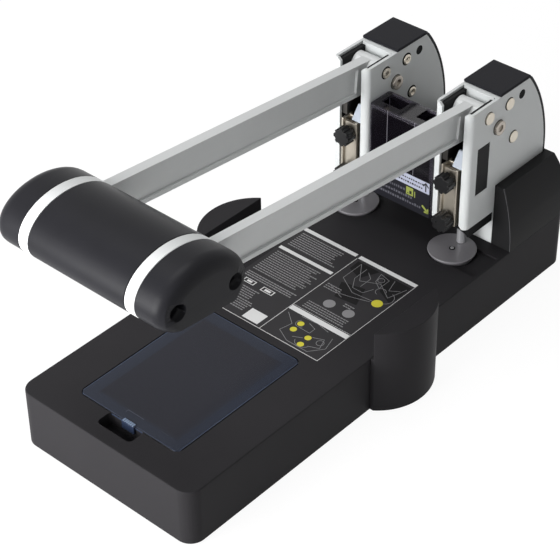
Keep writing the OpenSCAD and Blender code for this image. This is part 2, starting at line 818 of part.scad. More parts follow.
module chip_box_cover() placed() color("#34303a", 0.6) difference() {
    translate([0, 0, box_z + box_h - box_wall]) linear_extrude(box_wall) box_outline(0);
    for (s = [-1, 1])
        translate([s > 0 ? box_half - port_inset[0] - box_port : -box_half + port_inset[0],
            -box_front + port_inset[1], box_z + box_h - box_wall - 1])
            cube([box_port, box_d - port_inset[1] - port_inset[2], box_wall + 2]);
}

// ---- lever ----------------------------------------------------------------------------

// The lever's own frame: the pivot is its origin, -Y runs along the arms to the grip.
module lever_frame() { translate([0, pivot_y, pivot_z]) rotate([-lever_tilt, 0, 0]) children(); }

function ellipse_point(y, a, b, t) = [y + a * cos(t), -grip_drop + b * sin(t)];

// Outline of the grip's section in the lever's frame, drawn in by the length i, and from below
// by a share of it: half an ellipse over a flat underside with two round corners.
function grip_outline(i, share = 1) = let (
    r = grip_low - i, low = grip_low - share * i, corner = grip_d / 2 - grip_low) concat(
    [for (k = [0:24]) ellipse_point(-grip_reach, grip_d / 2 - i, grip_crown - i, k * 7.5)],
    [for (k = [1:6]) ellipse_point(-grip_reach - corner, r, low, 180 + k * 15)],
    [for (k = [0:5]) ellipse_point(-grip_reach + corner, r, low, 270 + k * 15)]);

tie_fore = 1.1;
tie_ys = [-grip_reach - tie_fore - tie_pitch / 2, -grip_reach - tie_fore + tie_pitch / 2];

module arm_outline() {
    translate([-grip_reach, -arm_drop]) square([grip_reach, arm_h]);
    polygon(grip_outline(0));
    circle(hub_r);
}

// The drive pin's direction from the pivot, below the arm's own line.
crank_tilt = crank_angle + lever_tilt;
hollow_rear = 15;
bush_r = pivot_r + 1.2;
drive_end = arm_w / 2 - 1.5;

module arm(side) at_head(side) lever_frame() difference() {
    union() {
        difference() {
            slab(-arm_w / 2, arm_w) arm_outline();
            for (s = [-1, 1])
                translate([s > 0 ? arm_w / 2 - arm_hollow : -arm_w / 2 - 1,
                    -grip_reach + grip_d / 2 + 2, -arm_drop + arm_edge])
                    cube([arm_hollow + 1, grip_reach - grip_d / 2 - 2 - hollow_rear, arm_h - 2 * arm_edge]);
        }
        slab(-hub_half, 2 * hub_half) circle(hub_r);
    }
    x_rod(-hub_half - 1, 2 * hub_half + 2, 0, 0, bush_r);
    x_rod(-arm_w, arm_w + drive_end, -crank_r * cos(crank_tilt), -crank_r * sin(crank_tilt), crank_pin_r);
    for (y = tie_ys) x_rod(-arm_w, 2 * arm_w, y, -tie_drop, tie_r);
}

module left_arm() placed() color("#bfc1c1") arm(-1);
module right_arm() placed() color("#bfc1c1") arm(1);

module hub_bushes() placed() color("#b08d57") for (side = [-1, 1]) at_head(side)
    difference() {
        x_rod(-hub_half, 2 * hub_half, pivot_y, pivot_z, bush_r);
        x_rod(-hub_half - 1, 2 * hub_half + 2, pivot_y, pivot_z, pivot_r + fit);
    }

// Riveted pins that the lever turns on, one in each head.
module lever_pins() placed() color("#cfc9bb") for (side = [-1, 1]) at_head(side) {
    x_rod(-half_head, head_w, pivot_y, pivot_z, pivot_r);
    for (s = [-1, 1]) rivet_end(s, pivot_y, pivot_z, s != side);
}

cheek_gap = 0.6;
cheek_w = 4;
cheek_x = -arm_w / 2 - cheek_gap - cheek_w;

module drive_pins() placed() color("#9b9c9e") for (side = [-1, 1]) at_head(side)
    x_rod(cheek_x, drive_end - cheek_x, crank_pin_y, crank_pin_z, crank_pin_r);

// ---- grip -----------------------------------------------------------------------------

shell_half = arm_in - ring_gap;

module grip_shell() difference() {
    slab(-shell_half, 2 * shell_half) polygon(grip_outline(0));
    slab(-shell_half - 1, 2 * shell_half + 2) polygon(grip_outline(grip_wall));
}

split_z = -grip_drop - grip_low + grip_split;

module lower_part(i) {
    translate([-grip_half, -grip_reach - grip_d, split_z - grip_d - i]) cube([grip_len, 2 * grip_d, grip_d]);
}

module grip_upper_shell() placed() color("#3a3a3d") lever_frame() difference() {
    grip_shell();
    lower_part(0);
}

module grip_lower_shell() placed() color("#3a3a3d") lever_frame() intersection() {
    grip_shell();
    lower_part(0);
}

// An end cap's slices, as [distance from the grip's middle, inset of the section]: straight,
// round to end_turn degrees, then a bevel to the flat end.
end_turn = 50;
bevel_in = 5.8;
end_x = grip_half - grip_bevel - grip_end_r * sin(end_turn);
cap_slices = concat([[arm_out + ring_gap, 0]],
    [for (k = [0:4]) let (t = k * end_turn / 4) [end_x + grip_end_r * sin(t), grip_end_r * (1 - cos(t))]],
    [[grip_half, grip_end_r * (1 - cos(end_turn)) + bevel_in]]);

module cap_form() {
    n = len(grip_outline(0));
    last = len(cap_slices) - 1;
    polyhedron(
        points = [for (s = cap_slices, p = grip_outline(s[1], cap_under)) [s[0], p[0], p[1]]],
        faces = concat([[for (j = [0:n - 1]) j]], [[for (j = [n - 1:-1:0]) last * n + j]],
            [for (k = [0:last - 1], j = [0:n - 1]) let (a = k * n + j, b = k * n + (j + 1) % n)
                [a + n, b + n, b, a]]));
}

module grip_cap(side) mirror([side > 0 ? 0 : 1, 0, 0]) difference() {
    cap_form();
    for (y = tie_ys) {
        x_rod(arm_out, grip_half, y, -tie_drop, tie_r);
        x_rod(grip_half - screw_sink, screw_sink + 1, y, -tie_drop, grip_hole_r);
    }
}

screw_sink = 9;
tie_half = grip_half - screw_sink - 2;

module left_grip_cap() placed() color("#363639") lever_frame() grip_cap(-1);
module right_grip_cap() placed() color("#363639") lever_frame() grip_cap(1);

module grip_tie_rods() placed() color("#a5a7aa") lever_frame() for (y = tie_ys)
    x_rod(-tie_half, 2 * tie_half, y, -tie_drop, tie_r);

module grip_screws() placed() color("#5b5c5f") lever_frame() for (y = tie_ys, s = [-1, 1])
    mirror([s > 0 ? 0 : 1, 0, 0]) difference() {
        union() {
            x_rod(tie_half, grip_half - screw_sink - tie_half, y, -tie_drop, tie_r);
            x_rod(grip_half - screw_sink, 2.6, y, -tie_drop, grip_hole_r - 0.4);
        }
        translate([grip_half - screw_sink + 1, y, -tie_drop]) rotate([0, 90, 0])
            cylinder(h = 3, r = 2, $fn = 6);
    }

// ---- rams -----------------------------------------------------------------------------

guide_wing_y = [-8, -2];
slot_gap = 0.4;
fork_lip = 2.2;
fork_y = [-head_front + plate_t, pivot_y - hub_r - 0.5];
fork_z = [ram_z + holder_h + 1.5, crank_pin_z + crank_pin_r + slot_gap + fork_lip];
cheek_back = 1.5;
cheek_top = pivot_z - hub_r - stroke - 0.9;
slot_back = crank_pin_y + crank_pin_r + slot_gap;

// The cheek beside the arm ends in a fork round the drive pin, open to the front.
module ram_block() difference() {
    union() {
        translate([-ram_w / 2, block_y, ram_z]) cube([ram_w, ram_back - block_y, ram_h]);
        translate([-hub_half, guide_wing_y[0], ram_z])
            cube([2 * hub_half, guide_wing_y[1] - guide_wing_y[0], ram_h]);
        translate([cheek_x, block_y, ram_z]) cube([cheek_w, cheek_back - block_y, cheek_top - ram_z]);
        translate([cheek_x, fork_y[0], fork_z[0]])
            cube([cheek_w, fork_y[1] - fork_y[0], fork_z[1] - fork_z[0]]);
    }
    translate([cheek_x - 1, fork_y[0] - 1, crank_pin_z - crank_pin_r - slot_gap])
        cube([cheek_w + 2, slot_back - fork_y[0] + 1, 2 * (crank_pin_r + slot_gap)]);
    translate([0, 0, ram_z - 1]) cylinder(h = ram_h + 2, r = rod_r);
}

module left_ram_block() placed() color("#5c5a57") at_head(-1) ram_block();
module right_ram_block() placed() color("#5c5a57") at_head(1) ram_block();

module holder() {
    translate([-holder_w / 2, block_y - holder_t, ram_z]) cube([holder_w, holder_t, holder_h]);
    for (s = [-1, 1]) translate([s > 0 ? holder_w / 2 - holder_t : -holder_w / 2, holder_y, ram_z])
        cube([holder_t, holder_d, holder_h]);
}

module left_holder() placed() color("#cfc6ba") at_head(-1) holder();
module right_holder() placed() color("#cfc6ba") at_head(1) holder();

clamp_half = holder_w / 2 - holder_t;
clamp_y = holder_y + 1.5;

module clamp_plate() difference() {
    translate([-clamp_half, clamp_y, ram_z + 1]) cube([2 * clamp_half, clamp_t, holder_h - 3]);
    for (z = knob_zs) y_rod(0, clamp_y - 1, z, stud_r + fit, clamp_t + 2);
}

module left_clamp_plate() placed() color("#b3a79b") at_head(-1) clamp_plate();
module right_clamp_plate() placed() color("#b3a79b") at_head(1) clamp_plate();

module punch_rod() difference() {
    translate([0, 0, rod_foot_z]) cylinder(h = ram_top + 1.5 - rod_foot_z, r = rod_r);
    translate([0, 0, rod_foot_z - 1]) cylinder(h = ram_top + 4 - rod_foot_z, r = rod_bore_r);
}

module left_rod() placed() color("#c6c7c9") at_head(-1) punch_rod();
module right_rod() placed() color("#c6c7c9") at_head(1) punch_rod();

// The chute is a pale slide that slopes down to the front, over the top of the holder.
chute_x = [0.3, 7.6];
chute_low = [holder_y + 1, ram_z + holder_h - 1.5];
chute_high = [holder_y + 8.6, ram_z + holder_h + 9];
chute_t = 2;

module chip_chute() difference() {
    slab(chute_x[0], chute_x[1] - chute_x[0]) polygon([chute_low, chute_high,
        chute_high + [chute_t, -0.5], [block_y - holder_t - 0.2, ram_z + holder_h],
        [block_y - holder_t - 0.2, chute_low[1]]]);
    translate([-holder_w, holder_y - 1, ram_z]) cube([2 * holder_w, holder_d + 2, holder_h]);
}

module left_chip_chute() placed() color("#dfe6ee") at_head(-1) chip_chute();
module right_chip_chute() placed() color("#dfe6ee") at_head(1) chip_chute();

// ---- clamp knobs ----------------------------------------------------------------------

stud_r = 1.8;
knob_seat_y = holder_y - seat;
collar_h = 0.5;
flute_r = 1.3;
flute_out = 0.2;
flutes = 8;

module knob(side, z) at_head(side) {
    stud_end = clamp_y + clamp_t + 1;
    y_rod(0, knob_seat_y - collar_h, z, knob_r - 1.8, collar_h);
    y_rod(0, knob_seat_y, z, stud_r, stud_end - knob_seat_y);
    difference() {
        y_rod(0, knob_seat_y - collar_h - knob_h, z, knob_r, knob_h);
        for (k = [0:flutes - 1]) let (t = (k + 0.5) * 360 / flutes)
            y_rod((knob_r + flute_out) * cos(t), knob_seat_y - collar_h - knob_h - 1,
                z + (knob_r + flute_out) * sin(t), flute_r, knob_h + 2);
    }
}

module left_upper_knob() placed() color("#2e2e2f") knob(-1, knob_zs[1]);
module left_lower_knob() placed() color("#2e2e2f") knob(-1, knob_zs[0]);
module right_upper_knob() placed() color("#2e2e2f") knob(1, knob_zs[1]);
module right_lower_knob() placed() color("#2e2e2f") knob(1, knob_zs[0]);

// ---- the whole punch ------------------------------------------------------------------

base_housing();
bottom_plate();
rubber_feet();
base_screws();
frame_screws();
info_plate();
left_wing();
right_wing();
rear_housing();
left_head_frame();
right_head_frame();
left_head_liner();
right_head_liner();
left_top_cap();
right_top_cap();
left_back_cover();
right_back_cover();
left_rod_guide();
right_rod_guide();
head_bolts();
head_nuts();
bolt_spacers();
head_rivets();
board_pins();
chip_shelf();
chip_box();
chip_box_cover();
storage_lid();
lid_latch();
lid_hinge_pins();
left_rod_board();
right_rod_board();
left_arm();
right_arm();
grip_upper_shell();
grip_lower_shell();
left_grip_cap();
right_grip_cap();
grip_tie_rods();
grip_screws();
hub_bushes();
drive_pins();
lever_pins();
left_ram_block();
right_ram_block();
left_holder();
right_holder();
left_clamp_plate();
right_clamp_plate();
left_rod();
right_rod();
left_chip_chute();
right_chip_chute();
left_upper_knob();
left_lower_knob();
right_upper_knob();
right_lower_knob();
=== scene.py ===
import bmesh
import bpy
import numpy as np
from mathutils import Matrix, Vector


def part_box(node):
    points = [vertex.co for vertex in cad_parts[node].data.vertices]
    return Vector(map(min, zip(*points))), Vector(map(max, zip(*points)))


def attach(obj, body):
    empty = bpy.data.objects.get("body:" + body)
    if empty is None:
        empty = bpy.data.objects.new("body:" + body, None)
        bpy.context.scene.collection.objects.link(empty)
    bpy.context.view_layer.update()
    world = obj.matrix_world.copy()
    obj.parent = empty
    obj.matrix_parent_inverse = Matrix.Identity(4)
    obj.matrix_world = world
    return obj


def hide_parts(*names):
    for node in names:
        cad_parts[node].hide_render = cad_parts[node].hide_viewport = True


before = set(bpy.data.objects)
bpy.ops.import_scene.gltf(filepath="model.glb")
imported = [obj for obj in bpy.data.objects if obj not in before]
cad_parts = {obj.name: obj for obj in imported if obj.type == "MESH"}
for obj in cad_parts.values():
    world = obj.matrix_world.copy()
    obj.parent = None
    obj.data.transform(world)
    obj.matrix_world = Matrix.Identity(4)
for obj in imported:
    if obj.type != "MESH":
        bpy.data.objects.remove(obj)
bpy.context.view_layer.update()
scene = bpy.context.scene


# ---- studio ---------------------------------------------------------------------------------
# A long lens looks down at the punch from its front right. It stands on a white table in front
# of a white backdrop. Two soft lights stand before it, one low and near, and one hangs above.

CAMERA_AT = Vector((0.5964, -0.68044, 0.7564))
CAMERA_TURN, CAMERA_TILT, CAMERA_ROLL = np.radians([42.20, 37.85, -0.74])
LENS, SENSOR = 120.34, 36.0
NEAREST, FARTHEST = 0.05, 30.0


def aim(turn, tilt, roll):
    """Rotation of a camera that looks along +Y turned by turn to the left and down by tilt, then
    rolls about its own line of sight."""
    ahead = np.array([-np.sin(turn) * np.cos(tilt), np.cos(turn) * np.cos(tilt), -np.sin(tilt)])
    right = np.array([np.cos(turn), np.sin(turn), 0.0])
    up = np.cross(right, ahead)
    rolled_right = np.cos(roll) * right + np.sin(roll) * up
    rolled_up = -np.sin(roll) * right + np.cos(roll) * up
    return Matrix(np.stack([rolled_right, rolled_up, -ahead], axis=1).tolist())


camera_data = bpy.data.cameras.new("photo_camera")
camera_data.lens = LENS
camera_data.sensor_width = SENSOR
camera_data.clip_start, camera_data.clip_end = NEAREST, FARTHEST
camera = bpy.data.objects.new("photo_camera", camera_data)
camera.matrix_world = Matrix.Translation(CAMERA_AT) @ aim(
    CAMERA_TURN, CAMERA_TILT, CAMERA_ROLL).to_4x4()
scene.collection.objects.link(camera)
scene.camera = camera
scene.view_settings.view_transform = "Standard"


def soft_light(name, at, target, size, watts):
    """A square area light that faces its target."""
    data = bpy.data.lights.new(name, "AREA")
    data.shape, data.size, data.energy = "SQUARE", size, watts
    light = bpy.data.objects.new(name, data)
    light.location = at
    light.rotation_mode = "QUATERNION"
    light.rotation_quaternion = (Vector(target) - Vector(at)).to_track_quat("-Z", "Y")
    scene.collection.objects.link(light)


soft_light("front_light", at=(-0.14, -0.84, 0.34), target=(0.0, 0.0, 0.08), size=0.6, watts=10.0)
soft_light("low_light", at=(-0.10, -0.56, 0.09), target=(0.0, -0.15, 0.04), size=0.35, watts=1.5)
soft_light("top_light", at=(-0.30, 0.10, 1.6), target=(0.0, 0.0, 0.05), size=0.9, watts=9.0)

WORLD_FILL = 0.22
SHADOW_SHARE = 0.12
WHITE = 1.06
TABLE_HALF = 3.0
TABLE_SHADE = 0.85


def seen_or_reflected(nodes, links):
    """A value of 1 for rays from the camera and for those that mirror or glass has sent on, so
    that these meet a white studio, and 0 for the rays that only carry light."""
    path = nodes.new("ShaderNodeLightPath")
    total = None
    for ray in ("Is Camera Ray", "Is Glossy Ray", "Is Transmission Ray"):
        if total is None:
            total = path.outputs[ray]
            continue
        add = nodes.new("ShaderNodeMath")
        add.operation, add.use_clamp = "ADD", True
        links.new(total, add.inputs[0])
        links.new(path.outputs[ray], add.inputs[1])
        total = add.outputs[0]
    return total


world = bpy.data.worlds.new("studio")
world.use_nodes = True
scene.world = world
world_nodes, world_links = world.node_tree.nodes, world.node_tree.links
background = world_nodes["Background"]
background.inputs["Color"].default_value = (1.0, 1.0, 1.0, 1.0)
world_strength = world_nodes.new("ShaderNodeMapRange")
world_strength.inputs["To Min"].default_value = WORLD_FILL
world_strength.inputs["To Max"].default_value = 1.0
world_links.new(seen_or_reflected(world_nodes, world_links), world_strength.inputs["Value"])
world_links.new(world_strength.outputs["Result"], background.inputs["Strength"])

table = bpy.data.materials.new("white_table")
table.use_nodes = True
table_nodes, table_links = table.node_tree.nodes, table.node_tree.links
table_nodes.clear()
table_lit = table_nodes.new("ShaderNodeBsdfDiffuse")
table_lit.inputs["Color"].default_value = (TABLE_SHADE, TABLE_SHADE, TABLE_SHADE, 1.0)
table_glow = table_nodes.new("ShaderNodeEmission")
table_glow.inputs["Strength"].default_value = WHITE
table_seen = table_nodes.new("ShaderNodeMixShader")
table_seen.inputs["Fac"].default_value = 1.0 - SHADOW_SHARE
table_mix = table_nodes.new("ShaderNodeMixShader")
table_out = table_nodes.new("ShaderNodeOutputMaterial")
table_links.new(table_lit.outputs[0], table_seen.inputs[1])
table_links.new(table_glow.outputs[0], table_seen.inputs[2])
table_links.new(seen_or_reflected(table_nodes, table_links), table_mix.inputs["Fac"])
table_links.new(table_lit.outputs[0], table_mix.inputs[1])
table_links.new(table_seen.outputs[0], table_mix.inputs[2])
table_links.new(table_mix.outputs[0], table_out.inputs["Surface"])

table_mesh = bpy.data.meshes.new("table")
table_mesh.from_pydata(
    [(-TABLE_HALF, -TABLE_HALF, 0), (TABLE_HALF, -TABLE_HALF, 0),
     (TABLE_HALF, TABLE_HALF, 0), (-TABLE_HALF, TABLE_HALF, 0)], [], [(0, 1, 2, 3)])
table_mesh.materials.append(table)
table_top = bpy.data.objects.new("table", table_mesh)
scene.collection.objects.link(table_top)


# ---- base -----------------------------------------------------------------------------------
# The base is one black moulding with a fine matte grain, closed below by a plate that is screwed
# on. The tray, the finger recess and the seats of the rod boards are moulded into its top.

MM = 0.001
ROD_R = 3.0 * MM
HOLE_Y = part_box("left_rod")[0].y + ROD_R
ROUGH_DRIFT = 0.1
GRAIN_DEPTH = 0.1 * MM
# A mix node's sockets for two colours and for the mixed one.
FIRST_TONE, SECOND_TONE, MIXED_TONE = 6, 7, 2
WELD = 0.002 * MM
FLAT_WITHIN = np.radians(0.6)


def shade(r, g, b):
    """A colour written as it shows on a screen, from 0 to 255, as linear light."""
    c = np.array([r, g, b]) / 255.0
    linear = np.where(c <= 0.04045, c / 12.92, ((c + 0.055) / 1.055) ** 2.4)
    return (*linear.tolist(), 1.0)


def surface(name, dark, light, rough, metal=0.0, grain=0.0, grain_size=0.6 * MM, patch=20 * MM,
            specular=0.5, transmission=0.0):
    """A material whose colour drifts between two tones over patches of the given size, whose
    roughness drifts with it by a tenth, and whose skin has a fine grain of the given strength."""
    material = bpy.data.materials.new(name)
    material.use_nodes = True
    nodes, links = material.node_tree.nodes, material.node_tree.links
    shader = nodes["Principled BSDF"]
    place = nodes.new("ShaderNodeTexCoord")
    drift = nodes.new("ShaderNodeTexNoise")
    drift.inputs["Scale"].default_value = 1.0 / patch
    drift.inputs["Detail"].default_value = 4.0
    links.new(place.outputs["Object"], drift.inputs["Vector"])
    tones = nodes.new("ShaderNodeMix")
    tones.data_type = "RGBA"
    tones.inputs[FIRST_TONE].default_value = dark
    tones.inputs[SECOND_TONE].default_value = light
    links.new(drift.outputs["Fac"], tones.inputs["Factor"])
    links.new(tones.outputs[MIXED_TONE], shader.inputs["Base Color"])
    matt = nodes.new("ShaderNodeMapRange")
    matt.inputs["To Min"].default_value = rough * (1.0 - ROUGH_DRIFT)
    matt.inputs["To Max"].default_value = min(1.0, rough * (1.0 + ROUGH_DRIFT))
    links.new(drift.outputs["Fac"], matt.inputs["Value"])
    links.new(matt.outputs["Result"], shader.inputs["Roughness"])
    shader.inputs["Metallic"].default_value = metal
    shader.inputs["Specular IOR Level"].default_value = specular
    shader.inputs["Transmission Weight"].default_value = transmission
    shader.inputs["IOR"].default_value = 1.49
    if grain > 0.0:
        skin = nodes.new("ShaderNodeTexNoise")
        skin.inputs["Scale"].default_value = 1.0 / grain_size
        skin.inputs["Detail"].default_value = 2.0
        links.new(place.outputs["Object"], skin.inputs["Vector"])
        bump = nodes.new("ShaderNodeBump")
        bump.inputs["Strength"].default_value = grain
        bump.inputs["Distance"].default_value = GRAIN_DEPTH
        links.new(skin.outputs["Fac"], bump.inputs["Height"])
        links.new(bump.outputs["Normal"], shader.inputs["Normal"])
    return material


def smoothed(mesh, angle=32.0):
    """Shades a mesh smooth except across edges that turn by more than the given degrees."""
    mesh.shade_smooth()
    mesh.set_sharp_from_angle(angle=np.radians(angle))


def add_piece(name, mesh, material, body, slot, *nodes):
    """Puts a finished mesh into the scene as a piece that rides on a body and stands for nodes."""
    mesh.materials.clear()
    mesh.materials.append(material)
    piece = bpy.data.objects.new(name, mesh)
    scene.collection.objects.link(piece)
    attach(piece, body)
    if nodes:
        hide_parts(*nodes)
    return piece


def dressed(node, material, slot, body="punch_body", edge=0.3 * MM, segments=2, angle=32.0):
    """A CAD node's mesh with its loose triangles joined, flat faces made whole and edges rounded
    off by a bevel of the given width. Large faces rule the shading, so that they look flat."""
    cad = bmesh.new()
    cad.from_mesh(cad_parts[node].data)
    bmesh.ops.remove_doubles(cad, verts=cad.verts, dist=WELD)
    bmesh.ops.dissolve_limit(cad, angle_limit=FLAT_WITHIN, verts=cad.verts, edges=cad.edges)
    mesh = bpy.data.meshes.new(node + "_skin")
    cad.to_mesh(mesh)
    cad.free()
    smoothed(mesh, angle)
    piece = add_piece(node + "_skin", mesh, material, body, slot, node)
    if edge > 0.0:
        bevel = piece.modifiers.new("round_edges", "BEVEL")
        bevel.width, bevel.segments, bevel.limit_method = edge, segments, "ANGLE"
        bevel.angle_limit = np.radians(angle)
    flat = piece.modifiers.new("flat_faces", "WEIGHTED_NORMAL")
    flat.keep_sharp = True
    return piece


base_black = surface("base_black", shade(42, 41, 43), shade(46, 45, 47), 0.5, grain=0.25,
                     specular=0.05)
dressed("base_housing", base_black, "body_black", edge=0.35 * MM)
dressed("bottom_plate", base_black, "body_black", edge=0.0)
foot_rubber = surface("foot_rubber", shade(24, 24, 24), shade(32, 32, 32), 0.85, grain=0.3,
                      specular=0.1)
dressed("rubber_feet", foot_rubber, "foot_rubber", edge=0.3 * MM)
zinc = surface("zinc", shade(140, 142, 145), shade(165, 166, 168), 0.35, metal=1.0)
dressed("base_screws", zinc, "screw_steel", edge=0.1 * MM)
dressed("frame_screws", zinc, "screw_steel", edge=0.0)


# ---- information plate ----------------------------------------------------------------------
# A thin black sheet lies in a shallow bed of the base. It is printed in white, grey and yellow:
# a frame, heading bars, rows of fine strokes, and round marks for the rods and the boards.

panel_black = surface("panel_black", shade(44, 43, 45), shade(48, 47, 49), 0.4, grain=0.12,
                      specular=0.12)
dressed("info_plate", panel_black, "panel_black", edge=0.0)

PRINT_H = 0.03 * MM
LINE_W, ARC_STEP = 0.32, 15.0
panel_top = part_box("info_plate")[1].z


def prisms(loops, z0, z1):
    """Closed flat prisms from loops of corner points, all with the same number of corners. Each
    loop gives a bottom ring, a top ring, quads between them and a face at either end."""
    loops = np.asarray(loops, float)
    count, n = loops.shape[:2]
    low = np.concatenate([loops, np.full((count, n, 1), z0)], axis=2)
    high = np.concatenate([loops, np.full((count, n, 1), z1)], axis=2)
    points = np.concatenate([low, high], axis=1).reshape(-1, 3)
    corner = np.arange(n)
    after = np.roll(corner, -1)
    start = (np.arange(count) * 2 * n)[:, None]
    sides = np.stack([corner, after, after + n, corner + n], axis=1)
    quads = (start[:, None] + sides).reshape(-1, 4).tolist()
    ends = np.concatenate([start + corner[::-1], start + corner + n]).tolist()
    mesh = bpy.data.meshes.new("print")
    mesh.from_pydata(points.tolist(), [], quads + ends)
    return mesh


def bar(x0, y0, x1, y1, base=HOLE_Y):
    """The four corners of an upright rectangle, in millimetres. Its y is counted from base, which
    is the hole line if nothing else is given."""
    return [[x0 * MM, base + y0 * MM], [x1 * MM, base + y0 * MM],
            [x1 * MM, base + y1 * MM], [x0 * MM, base + y1 * MM]]


def stroke(x0, y0, x1, y1, w, base=HOLE_Y):
    """The four corners of a slanted stroke between two points, half its width w to either side of
    the line from one to the other, in millimetres."""
    a, b = np.array([x0, y0], float), np.array([x1, y1], float)
    side = np.array([a[1] - b[1], b[0] - a[0]]) / np.linalg.norm(b - a) * w / 2
    corners = np.array([a - side, b - side, b + side, a + side])
    return (corners * MM + [0.0, base]).tolist()


def ring(u, v, r, n=32):
    """A circle's points round (u, v) as a loop, all in metres: (u + r cos a, v + r sin a)."""
    turn = np.arange(n) * 2 * np.pi / n
    return np.stack([u + r * np.cos(turn), v + r * np.sin(turn)], axis=1)


def disc(x, y, r):
    """A round mark on the top, in millimetres, with its y counted from the hole line."""
    return ring(x * MM, HOLE_Y + y * MM, r * MM, n=28)


rng = np.random.default_rng(7)


def words(x0, x1, narrow, wide, gap):
    """Both ends of each made-up word in a row. A word's width is drawn at random between narrow
    and wide, a gap follows it, and words go on for as long as one starts before x1."""
    x = x0
    while x < x1:
        w = rng.uniform(narrow, wide)
        yield x, x + w
        x += w + gap


white_ink = surface("white_ink", shade(214, 214, 214), shade(222, 222, 222), 0.5)
grey_ink = surface("grey_ink", shade(120, 119, 121), shade(136, 135, 137), 0.5)
yellow_ink = surface("yellow_ink", shade(196, 188, 40), shade(206, 198, 52), 0.5)

white_bars = [bar(-45.5, -54.6, -2.0, -51.6), bar(0.4, -54.8, 46.3, -51.6),
              bar(-45.5, -79.0, -1.8, -76.2), bar(0.4, -121.0, 46.3, -117.0)]
frame_lines = [bar(-0.2, -147.6, 0.15, -55.0), bar(46.1, -147.6, 46.4, -55.0),
               bar(0.15, -147.6, 46.1, -147.25), bar(-46.3, -147.6, -0.2, -147.25),
               bar(0.15, -116.2, 46.1, -116.0)]
TEXT_LEFT, TEXT_RIGHT, RAGGED = -43.5, -4.0, 9.0
ROW_HALF, SMALL_ROW_HALF, SMALL_ROW_PITCH = 0.42, 0.4, 2.0
text_blocks = ((-57.6, -74.0, 2.05), (-82.4, -106.0, 2.05), (-109.0, -113.0, 1.9))
captions = ((-107.5, -114.5, 5.0, 36.0), (-86.6, -91.0, 2.5, 13.0), (-95.4, -99.0, 24.0, 30.0),
            (-122.5, -131.0, -44.0, -24.0), (-133.0, -142.0, -44.0, -20.0))
rows = []
for first, last, pitch in text_blocks:
    for y in np.arange(first, last, -pitch):
        end = TEXT_RIGHT - rng.uniform(0.0, RAGGED)
        rows += [bar(x0, y - ROW_HALF, min(x1, end + 0.5), y + ROW_HALF)
                 for x0, x1 in words(TEXT_LEFT, end, 0.9, 2.4, 0.35)]
for first, last, left, right in captions:
    for y in np.arange(first, last, -SMALL_ROW_PITCH):
        rows += [bar(x0, y - SMALL_ROW_HALF, x1, y + SMALL_ROW_HALF)
                 for x0, x1 in words(left, right, 0.9, 2.2, 0.4)]


def chain(points):
    """Thin strokes from each point to the next."""
    return [stroke(*a, *b, LINE_W) for a, b in zip(points[:-1], points[1:])]


def arc(x, y, r, first, last):
    """Thin strokes along the circle (x + r cos a, y + r sin a), with a from one angle to another
    in even steps, in degrees."""
    turn = np.radians(np.arange(first, last + ARC_STEP / 2, ARC_STEP))
    return chain(np.stack([x + r * np.cos(turn), y + r * np.sin(turn)], axis=1))


sketch = (
    chain([(6, -58), (16, -72), (28, -66), (40, -74), (44, -60)])
    + chain([(6, -58), (6, -76), (20, -84), (35, -82.4)])
    + chain([(22, -58), (24, -66), (30, -70), (30, -60), (22, -58)])
    + chain([(12, -60), (12, -72), (17, -80), (25, -80), (28, -73)])
    + chain([(9, -91), (22, -88), (34, -84)]) + chain([(3, -86), (18, -92)])
    + chain([(33, -58), (36, -68), (42, -64)]) + chain([(15, -62), (20, -66), (20, -76)])
    + arc(38.6, -75, 6.0, -60, 75) + arc(26, -63, 2.2, 0, 360) + arc(33, -72, 3.4, 20, 260)
    + chain([(3, -124), (12, -131), (10, -140), (20, -145), (36, -145), (43, -136), (40, -126)])
    + chain([(18, -131), (26, -131), (26, -126), (20, -124)]) + chain([(20, -140), (26, -137)])
    + chain([(30, -133), (37, -130), (40, -138), (33, -141)]) + arc(37, -134, 2.4, 0, 360)
    + arc(16.2, -127.7, 3.2, 120, 330) + arc(28.5, -139, 5.6, 200, 340)
    + chain([(12, -122), (24, -121), (34, -123)]))
dark_patches = [[[x * MM, HOLE_Y + y * MM] for x, y in corners] for corners in (
    ((3.0, -66.0), (14.0, -70.0), (20.0, -57.0), (2.5, -57.0)),
    ((32.0, -72.0), (45.0, -78.0), (45.0, -57.0), (24.0, -57.0)),
    ((14.0, -94.0), (30.0, -92.0), (24.0, -76.0), (8.0, -80.0)))]
icon_marks = [bar(-40, -119.0, -31, -115.0), bar(-25, -119.4, -15.5, -115.2),
              bar(-16, -145.5, -3.5, -135.5)]
icon_cuts = [bar(-39.3, -118.5, -31.7, -115.5), bar(-24.3, -118.9, -16.2, -115.7)]
icon_inner = [bar(-37.4, -117.8, -33.4, -116.2), bar(-22.6, -118.2, -17.8, -116.4)]

dark_ink = surface("dark_ink", shade(22, 21, 22), shade(27, 26, 27), 0.4, specular=0.1)
yellow_marks = [disc(38.6, -82.4, 3.6)] + [disc(x, y, 2.2) for x, y in (
    (16.2, -127.7), (16.2, -134.5), (28.3, -135.0), (28.7, -142.4))]
grey_marks = [disc(16.5, -101.6, 3.9), disc(31.7, -101.5, 3.9)]


def printed(name, shapes, layer, ink):
    """A print on the plate: flat shapes that stand up by their layer's number of print heights."""
    add_piece(name, prisms(shapes, panel_top, panel_top + layer * PRINT_H), ink, "punch_body",
              "panel_black")


printed("panel_white_print", white_bars + frame_lines + icon_marks, 1.0, white_ink)
printed("panel_fine_rows", rows + sketch, 1.0, grey_ink)
printed("panel_icon_fill", icon_cuts, 1.5, panel_black)
printed("panel_icon_inner", icon_inner, 2.0, white_ink)
printed("panel_dark_patches", dark_patches, 0.5, dark_ink)
printed("panel_yellow_marks", yellow_marks, 1.0, yellow_ink)
printed("panel_grey_marks", grey_marks, 1.0, grey_ink)


